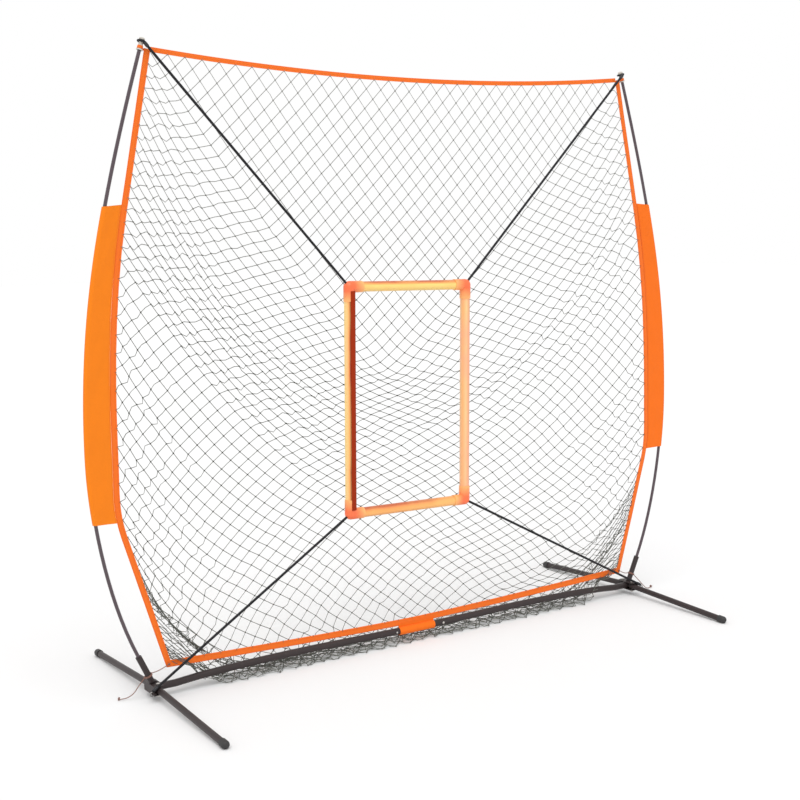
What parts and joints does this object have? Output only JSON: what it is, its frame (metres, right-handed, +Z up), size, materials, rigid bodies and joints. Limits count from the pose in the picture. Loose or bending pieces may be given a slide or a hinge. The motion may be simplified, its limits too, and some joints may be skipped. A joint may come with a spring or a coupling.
{
  "type": "pitching target net",
  "caption": "Bow-framed pitching net on a folding steel base, with tube-edged strike-zone target hung on elastic cords.",
  "frame": {"origin": "on the floor under the middle of the base bar, halfway between the front and rear leg ends", "axes": "+X to the right across the net as seen from the pitcher, +Y away from the pitcher into the net's pocket, +Z up"},
  "size_m": [2.5106, 1.09, 2.136],
  "materials": {
    "steel": "satin dark brown-black powder coat on steel tube",
    "zinc": "bright zinc-plated hardware",
    "cap_rubber": "matt black moulded rubber",
    "fibreglass": "dark purplish brown fibreglass rod, smooth",
    "ferrule_alloy": "plain drawn tube",
    "tip_plastic": "pale moulded cap",
    "tape": "bright orange woven binding",
    "sleeve": "bright orange coated weave",
    "netting": "black knotted twine netting",
    "target_plastic": "peach-coloured plastic tube, semi-gloss",
    "elbow_plastic": "red-orange moulded elbow",
    "bungee": "black braided sleeve over rubber",
    "tie_cord": "reddish brown twisted cord"
  },
  "bodies": {
    "frame": {"base_bar_left": "steel", "base_bar_right": "steel", "base_spigot": "zinc", "spigot_rivet": "zinc", "button_spring": "zinc", "hub_left": "steel", "pivot_bolt_front_left": "zinc", "pivot_nut_front_left": "zinc", "pivot_bolt_rear_left": "zinc", "pivot_nut_rear_left": "zinc", "pole_lower_left": "fibreglass", "pole_upper_left": "fibreglass", "pole_ferrule_left": "ferrule_alloy", "pole_tip_left": "tip_plastic", "side_tape_left": "tape", "pole_sleeve_left": "sleeve", "corner_loop_left": "tape", "tie_cord_left": "tie_cord", "tie_tail_left": "tie_cord", "hub_right": "steel", "pivot_bolt_front_right": "zinc", "pivot_nut_front_right": "zinc", "pivot_bolt_rear_right": "zinc", "pivot_nut_rear_right": "zinc", "pole_lower_right": "fibreglass", "pole_upper_right": "fibreglass", "pole_ferrule_right": "ferrule_alloy", "pole_tip_right": "tip_plastic", "side_tape_right": "tape", "pole_sleeve_right": "sleeve", "corner_loop_right": "tape", "tie_cord_right": "tie_cord", "tie_tail_right": "tie_cord", "net_bag": "netting", "net_slack_left": "netting", "net_slack_right": "netting", "top_tape": "tape", "bottom_tape": "tape", "center_wrap": "tape", "bungee_top_left": "bungee", "bungee_top_right": "bungee", "bungee_bottom_left": "bungee", "bungee_bottom_right": "bungee"},
    "target": {"target_bar_top": "target_plastic", "target_bar_bottom": "target_plastic", "target_bar_left": "target_plastic", "target_bar_right": "target_plastic", "target_corner_top_left": "elbow_plastic", "target_corner_top_right": "elbow_plastic", "target_corner_bottom_left": "elbow_plastic", "target_corner_bottom_right": "elbow_plastic"},
    "snap_button": {"snap_button": "zinc"},
    "leg_front_left": {"leg_front_left": "steel", "leg_cap_front_left": "cap_rubber"},
    "leg_rear_left": {"leg_rear_left": "steel", "leg_cap_rear_left": "cap_rubber"},
    "leg_front_right": {"leg_front_right": "steel", "leg_cap_front_right": "cap_rubber"},
    "leg_rear_right": {"leg_rear_right": "steel", "leg_cap_rear_right": "cap_rubber"}
  },
  "joints": [
    {"name": "leg_front_left_fold", "type": "hinge", "parent": "frame", "child": "leg_front_left", "pos_m": [-1.056, -0.028, 0.036], "axis": [0, 0, 1], "range_deg": [0, 90]},
    {"name": "leg_rear_left_fold", "type": "hinge", "parent": "frame", "child": "leg_rear_left", "pos_m": [-1.056, 0.028, 0.036], "axis": [0, 0, -1], "range_deg": [0, 90], "deforming": ["net_slack_left"]},
    {"name": "leg_front_right_fold", "type": "hinge", "parent": "frame", "child": "leg_front_right", "pos_m": [1.056, -0.028, 0.036], "axis": [0, 0, -1], "range_deg": [0, 90]},
    {"name": "leg_rear_right_fold", "type": "hinge", "parent": "frame", "child": "leg_rear_right", "pos_m": [1.056, 0.028, 0.036], "axis": [0, 0, 1], "range_deg": [0, 90], "deforming": ["net_slack_right"]},
    {"name": "target_give", "type": "slide", "parent": "frame", "child": "target", "axis": [0, 1, 0], "range_m": [-0.05, 0.06], "stiffness_N_per_m": 120, "deforming": ["bungee_top_left", "bungee_top_right", "bungee_bottom_left", "bungee_bottom_right"]},
    {"name": "button_press", "type": "slide", "parent": "frame", "child": "snap_button", "axis": [0, 1, 0], "range_m": [0, 0.004], "stiffness_N_per_m": 800, "deforming": ["button_spring"]}
  ]
}
